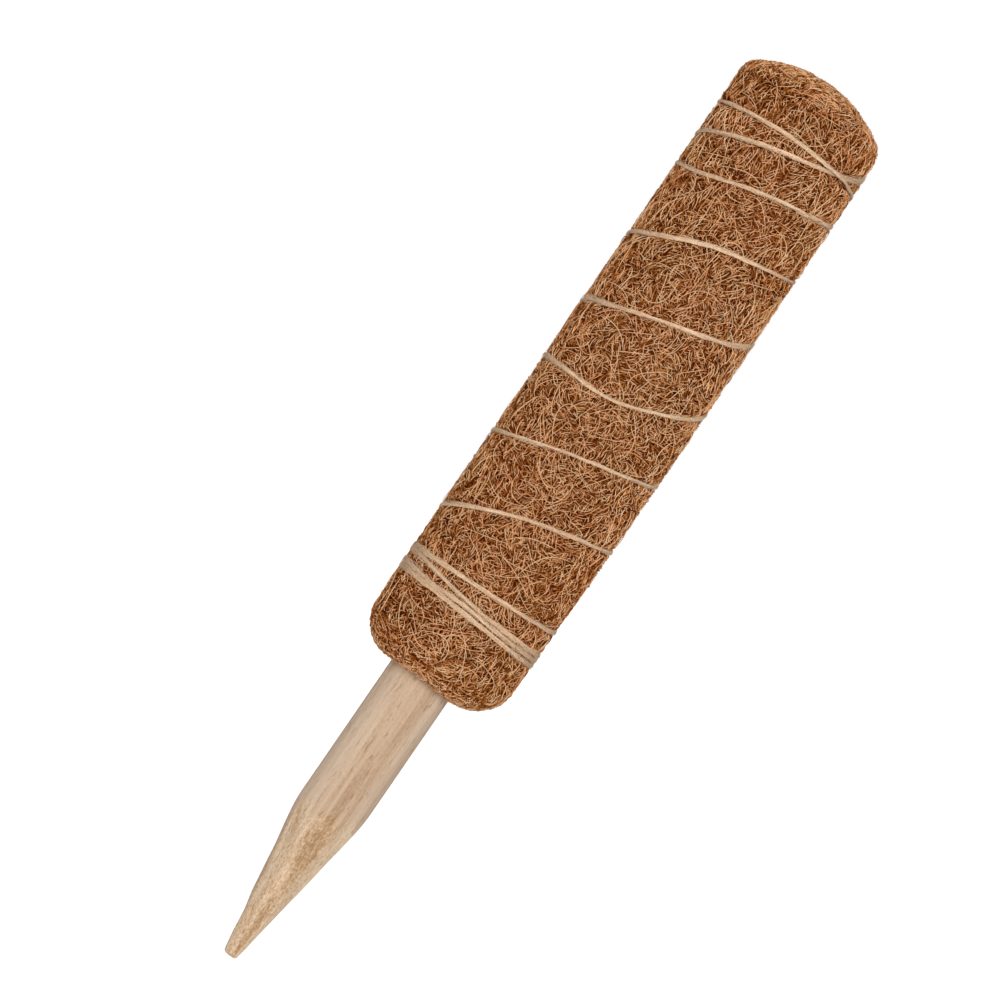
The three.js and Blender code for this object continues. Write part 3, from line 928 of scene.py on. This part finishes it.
def coir_roll(material):
    """The strip of mat rolled round the stake, thinned at both ends. Also gives its length before rolling."""
    turns = np.linspace(0, ROLL_TURNS - ROLL_SHORT, ROLL_STEPS)
    seats = np.array([rolled_seat(turn) for turn in turns])
    thickness = np.array([rolled_thickness(turn) for turn in turns])
    heights = np.linspace(roll_low[2], roll_high[2], ROLL_ROWS)

    def wound(radii):
        x = radii * np.cos(TAU * turns)
        y = radii * np.sin(TAU * turns)
        return np.stack(np.broadcast_arrays(x[:, None], y[:, None], heights), -1)

    middle = wound(seats + thickness / 2)

    def edged(radii):
        return np.concatenate([middle[:, :1], lumpy(wound(radii)), middle[:, -1:]], axis=1)

    outer = edged(seats + thickness)
    inner = edged(seats)
    length = np.linalg.norm(np.diff(middle[:, 0], axis=0), axis=1).sum()
    return grid_object("coir_roll", np.concatenate([outer, inner[::-1]]), material, round_rows=True), length


def coir_ring(material):
    """The ring of coir under the roll, which fills the rounded foot."""
    inset = MAT_THICKNESS + CLEARANCE
    bore = [(BORE_RADIUS, z) for z in np.linspace(ring_high[2], inset, RING_STEPS)]
    top = [(r, ring_high[2]) for r in np.linspace(coir_radius - inset, BORE_RADIUS, RING_STEPS)[:-1]]
    places = lumpy(swept(bore + foot_arc(inset) + top, full_turn(RING_SEGMENTS)))
    return grid_object("coir_ring", places, material, round_rows=True, round_columns=True)


# Twine

def fan_at(turns):
    return 1 + sum(spread * bell(turns - turn, reach) for turn, reach, spread in FRAYED)


def thickness_at(turns):
    uneven = sum(more * bell(turns - turn, reach) for turn, reach, more in THICK_YARN)
    return TWINE_DIAMETER * (EVEN_YARN + uneven)


def wavering(length):
    """Smooth random values of about -1 to 1 along a length."""
    values = np.zeros_like(length)
    for _ in range(WAVER_WAVES):
        reach = rng.uniform(*WAVER_LENGTHS) * MM
        values += np.sin(length / reach + rng.uniform(0, TAU))
    return values / np.sqrt(WAVER_WAVES)


def twine_yarn(material):
    """Soft jute yarn: fine filaments in a loose lay along the whole route, fanned out where it is frayed."""
    turns = np.linspace(FIRST_TURN, LAST_TURN, FILAMENT_STEPS + 1)
    middle, outward = twine_places(turns)
    side = np.cross(unit(np.gradient(middle, axis=0)), outward)
    length = np.concatenate([[0], np.cumsum(np.linalg.norm(np.diff(middle, axis=0), axis=1))])
    middle += YARN_WAVER * wavering(length)[:, None] * side
    slubs = 1 + SLUBS * wavering(length)
    thickness = thickness_at(turns)
    fan = fan_at(turns) * slubs
    yarn_tone = YARN_TONE - BINDING_SHADE * bell(turns - BINDING_TURNS / 2, BINDING_TURNS / 2)
    paths, radii, tones = [], [], []
    for filament in range(FILAMENTS):
        wander = wavering(length)
        turn = TAU * (length / YARN_LAY + FILAMENT_TURN * filament) + FILAMENT_TURN_WAVER * wander
        reach = FILAMENT_REACH * np.sqrt((filament + 0.5) / FILAMENTS) * (1 + FILAMENT_REACH_WAVER * wander)
        up = YARN_FLATNESS * np.cos(turn)[:, None] * outward
        aside = (fan * np.sin(turn))[:, None] * side
        paths.append(middle + (thickness * reach)[:, None] * (up + aside))
        share = (FILAMENT_RADIUS + FILAMENT_RADIUS_WAVER * wander) / fan**FRAYED_FINER
        radii.append(thickness * slubs * share)
        own_tone = rng.normal(0, FILAMENT_TONE) + rng.normal(0, FLECK_TONE, len(turns))
        tones.append(yarn_tone + YARN_TONE_WAVER * wander + own_tone)
    normals = np.broadcast_to(outward, (FILAMENTS, *outward.shape))
    parts = [np.array(part) for part in (paths, normals, radii, tones)]
    return tubes("twine_yarn", *parts, FILAMENT_SIDES, material, rows=FILAMENT_ROWS)


def twine_hairs(material):
    """Fine hairs on the yarn: most hug it, and some stray over the coir beside it."""
    t = np.linspace(0, 1, HAIR_POINTS)
    length = rng.uniform(*HAIR_LENGTHS, (HAIRS, 1)) * MM
    span = length / (TAU * TWINE_RADIUS) * rng.choice([-1, 1], (HAIRS, 1))
    first = rng.uniform(FIRST_TURN + HAIRLESS_TURNS, LAST_TURN - HAIRLESS_TURNS, (HAIRS, 1))
    turns = first + span * t
    middle, outward = twine_places(turns)
    side = np.cross(unit(twine_places(turns + SMALL_TURN)[0] - middle), outward)
    lean = rng.normal(0, HAIR_LEAN, (HAIRS, 1)) + rng.normal(0, HAIR_LEAN_CHANGE, (HAIRS, 1)) * t
    stray = np.sign(lean) * rng.exponential(HAIR_STRAY, (HAIRS, 1)) * t**2
    thickness = thickness_at(turns)
    sideways = HAIR_ASIDE * thickness * (np.sin(lean) + stray) * fan_at(turns)
    upward = HAIR_UP * thickness * np.abs(np.cos(lean))
    paths = middle + sideways[..., None] * side + upward[..., None] * outward
    radii = rng.uniform(*HAIR_RADII, (HAIRS, 1)) * MM * (1 - HAIR_TAPER * t)
    tones = np.clip(HAIR_TONE + rng.normal(0, HAIR_TONE_SPREAD, (HAIRS, 1)), 0, 1)
    tones = np.repeat(tones, HAIR_POINTS, axis=1)
    return tubes("twine_hairs", paths, outward, radii, tones, HAIR_SIDES, material)


# Stake

def stake_tones(height, angle, shares):
    """The stake's tones, and how far it is cut, from the shares of its facets and the dowel in each place."""
    cut = 1 - shares[..., -1]
    tones = shares @ [*(tone for *_, tone in FACETS), DOWEL_TONE]
    from_front = np.degrees((angle - FRONT_ANGLE + np.pi) % TAU - np.pi)
    stain_reach = STAIN_TIP_REACH + STAIN_WIDENING * height / MM
    stain = np.exp(-(((from_front - STAIN_PLACE) / stain_reach) ** STAIN_EDGE))
    # Painted light on the dowel: its two sides paler, its left side most; then the grain bands
    bands = SIDE_PAINTED_LIGHT * np.cos(angle) ** 2 - LEFT_PAINTED_LIGHT * np.cos(angle)
    bands += sum(tone * bell(from_front - place, reach) for place, reach, tone in GRAIN_BANDS)
    bands -= STAIN_OVER_CUT * stain * bell(height - STAIN_OVER_CUT_Z, STAIN_OVER_CUT_REACH)
    tones += (1 - cut) * bands - STAIN_TONE * cut * stain
    return tones, cut


def stake(material):
    """Dowel with hand-cut facets at its blunt point, no two alike, with slightly worn ridges."""
    point = np.linspace(0, POINT_TOP, POINT_ROWS)
    shaft = np.linspace(SHAFT_FROM, stake_high[2] - tip_z, SHAFT_ROWS)
    height, angle = np.meshgrid(np.concatenate([point, shaft]), full_turn(STAKE_SEGMENTS), indexing="ij")
    round_dowel = np.stack([stake_radius * np.cos(angle), stake_radius * np.sin(angle), height], -1)
    turned, half_tips, slopes, _ = np.array(FACETS).T
    lean = np.cos(angle[..., None] - FRONT_ANGLE - np.radians(turned))
    uneven = CUT_WAVES * ripple(round_dowel, CUT_WAVE_SIZE)
    flats = half_tips * MM + slopes * height[..., None] + uneven[..., None]
    flats = flats / np.maximum(lean, FACET_LEAST_COSINE) ** FLATNESS
    flats = np.where(lean > FACET_LEAST_COSINE, flats, np.inf)
    faces = np.concatenate([flats, np.full((*angle.shape, 1), stake_radius)], -1)
    shares = np.exp(-faces / RIDGE_WEAR)
    radius = -RIDGE_WEAR * np.log(shares.sum(-1))
    rounded = 1 - np.clip(1 - height / TIP_ROUNDING, 0, 1) ** 2
    radius *= np.sqrt(TIP_END**2 + (1 - TIP_END**2) * rounded)
    places = np.stack([radius * np.cos(angle), radius * np.sin(angle), height + tip_z], -1)
    tones, cut = stake_tones(height, angle, shares / shares.sum(-1, keepdims=True))
    ends = [places[:1] * [0, 0, 1], places, places[-1:] * [0, 0, 1]]
    tones, cut = [np.concatenate([part[:1], part, part[-1:]]) for part in (tones, cut)]
    return grid_object("stake", np.concatenate(ends), material, round_columns=True, tone=tones, cut=cut)


# Stage

def seen_plainly(tree):
    """1 where the camera sees the surroundings, straight or in a mirror or glass, and 0 for their light."""
    rays = tree.nodes.new("ShaderNodeLightPath").outputs
    seen = rays["Is Camera Ray"]
    for other in ("Is Glossy Ray", "Is Transmission Ray"):
        seen = add(tree, "Math", {0: seen, 1: rays[other]}, operation="MAXIMUM")
    return seen


def floor():
    """A white floor under the tip, lifted to plain white for the camera. It keeps the pole's shadow."""
    material, tree, shader = new_material("floor_white")
    lift = add(tree, "Math", {0: seen_plainly(tree), 1: FLOOR_LIFT}, operation="MULTIPLY")
    connect(tree, shader, {"Base Color": (0.9, 0.9, 0.9, 1), "Roughness": 0.9, "Specular IOR Level": 0.1})
    connect(tree, shader, {"Emission Color": (1, 1, 1, 1), "Emission Strength": lift})
    bpy.ops.mesh.primitive_plane_add(size=FLOOR_SIZE, location=(0, 0, tip_z))
    plane = bpy.context.object
    plane.name = "floor"
    plane.data.materials.append(material)


def light():
    """Even white surroundings, shown as white to the camera, a broad soft key light and a weak one behind."""
    world = bpy.data.worlds.new("studio")
    bpy.context.scene.world = world
    world.use_nodes = True
    tree = world.node_tree
    level = add(tree, "Mix", {"Factor": seen_plainly(tree), "A": WORLD_LEVEL, "B": 1.0})
    connect(tree, tree.nodes["Background"], {"Color": (1, 1, 1, 1), "Strength": level})
    for name, energy, direction in LAMPS:
        sun = bpy.data.lights.new(name, "SUN")
        sun.energy = energy
        sun.angle = np.radians(LAMP_WIDTH)
        lamp = bpy.data.objects.new(name, sun)
        lamp.rotation_euler = Vector(direction).to_track_quat("-Z", "Y").to_euler()
        bpy.context.collection.objects.link(lamp)


def camera():
    """Level with the pole's middle and rolled, so that the pole leans to the right as in the photograph."""
    lens = bpy.data.cameras.new("camera")
    lens.sensor_width = SENSOR_WIDTH
    lens.lens = LENS
    seen = bpy.data.objects.new("camera", lens)
    lean = np.radians(CAMERA_LEAN)
    right = Vector((np.cos(lean), 0, np.sin(lean)))
    up = Vector((-np.sin(lean), 0, np.cos(lean)))
    rows = Matrix((right, up, Vector((0, -1, 0)))).transposed()
    seen.matrix_world = Matrix.Translation(CAMERA_PLACE) @ rows.to_4x4()
    bpy.context.collection.objects.link(seen)
    bpy.context.scene.camera = seen


def finished(piece, slot, *nodes):
    if nodes:
        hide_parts(*nodes)


camera()
light()
floor()

fibre = fibre_material()
for piece in loose_fibres(fibre):
    finished(piece, "coir_mat")

felt = painted_shade_felt_material()
wrap = coir_wrap(felt)
finished(wrap, "coir_mat", "coir_outer_wrap")
roll, strip_length = coir_roll(felt)
finished(roll, "coir_core", "coir_inner_roll")
for pad, node in ((coir_pad(felt), "coir_top_pad"), (coir_ring(felt), "coir_bottom_ring")):
    finished(pad, "coir_core", node)

jute = jute_material()
finished(twine_yarn(jute), "jute_twine", "twine_winding")
finished(twine_hairs(jute), "jute_twine")
finished(stake(wood_material()), "stake_wood", "wood_stake")

bpy.context.scene.view_settings.view_transform = "Standard"
